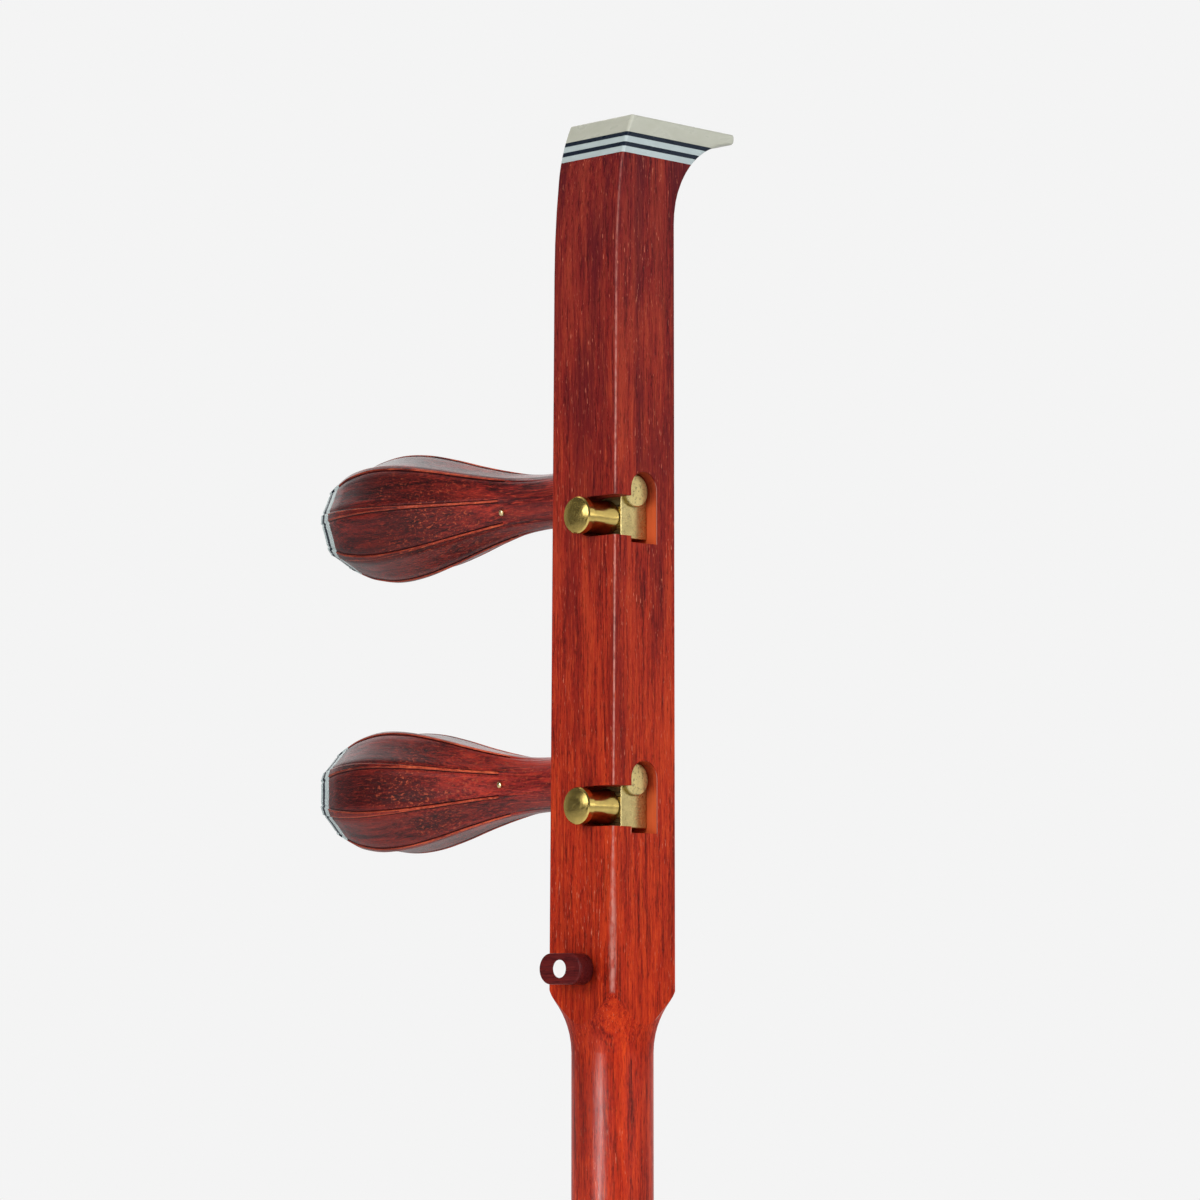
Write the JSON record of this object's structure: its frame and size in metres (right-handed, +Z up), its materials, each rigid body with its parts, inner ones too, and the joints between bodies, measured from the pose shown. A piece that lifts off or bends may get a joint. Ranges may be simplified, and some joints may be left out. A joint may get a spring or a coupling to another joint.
{
  "type": "banhu neck with worm-geared tuners",
  "caption": "Slender bowed-fiddle neck: square hardwood stick turned round below, laminated flared head, faceted pegs driving brass string posts through worm gears.",
  "frame": {"origin": "on the neck's axis at the shoulder that sits on the sound box, where the tenon starts", "axes": "+Z up along the neck to the head, -Y the front where the strings run, -X the side the peg handles leave"},
  "size_m": [0.1253, 0.0594, 0.6568],
  "materials": {
    "rosewood": "oiled satin, red rosewood",
    "nut_wood": "oiled satin, dark red rosewood",
    "peg_wood": "polished dark red rosewood",
    "cap_ivory": "polished bone-coloured plate",
    "cap_white": "polished white veneer",
    "cap_black": "polished black veneer",
    "brass": "lacquered brass",
    "worm_brass": "cut brass",
    "post_brass": "turned brass",
    "screw_steel": "plain steel"
  },
  "bodies": {
    "neck_body": {"neck": "rosewood", "cap_white_lower": "cap_white", "cap_black_lower": "cap_black", "cap_white_upper": "cap_white", "cap_black_upper": "cap_black", "cap_ivory": "cap_ivory", "nut_block": "nut_wood", "nut_inlay_dot": "cap_white", "nut_dowel": "nut_wood", "upper_housing": "brass", "upper_peg_bush": "brass", "lower_housing": "brass", "lower_peg_bush": "brass"},
    "upper_peg": {"upper_peg_handle": "peg_wood", "upper_worm_shaft": "worm_brass", "upper_cross_pin": "post_brass", "upper_peg_white_inner": "cap_white", "upper_peg_black_ring": "cap_black", "upper_peg_white_outer": "cap_white"},
    "upper_post": {"upper_string_post": "post_brass", "upper_worm_wheel": "worm_brass", "upper_wheel_screw": "screw_steel"},
    "lower_peg": {"lower_peg_handle": "peg_wood", "lower_worm_shaft": "worm_brass", "lower_cross_pin": "post_brass", "lower_peg_white_inner": "cap_white", "lower_peg_black_ring": "cap_black", "lower_peg_white_outer": "cap_white"},
    "lower_post": {"lower_string_post": "post_brass", "lower_worm_wheel": "worm_brass", "lower_wheel_screw": "screw_steel"}
  },
  "joints": [
    {"name": "upper_peg_turn", "type": "hinge", "parent": "neck_body", "child": "upper_peg", "pos_m": [0, 0, 0.4378], "axis": [1, 0, 0], "continuous": true},
    {"name": "upper_post_turn", "type": "hinge", "parent": "neck_body", "child": "upper_post", "pos_m": [0.003, 0, 0.43], "axis": [0, 1, 0], "continuous": true},
    {"name": "lower_peg_turn", "type": "hinge", "parent": "neck_body", "child": "lower_peg", "pos_m": [0, 0, 0.3548], "axis": [1, 0, 0], "continuous": true},
    {"name": "lower_post_turn", "type": "hinge", "parent": "neck_body", "child": "lower_post", "pos_m": [0.003, 0, 0.347], "axis": [0, 1, 0], "continuous": true}
  ],
  "couplings": [
    {"joint": "upper_post_turn", "follows": "upper_peg_turn", "ratio": -0.083333},
    {"joint": "lower_post_turn", "follows": "lower_peg_turn", "ratio": -0.083333}
  ]
}
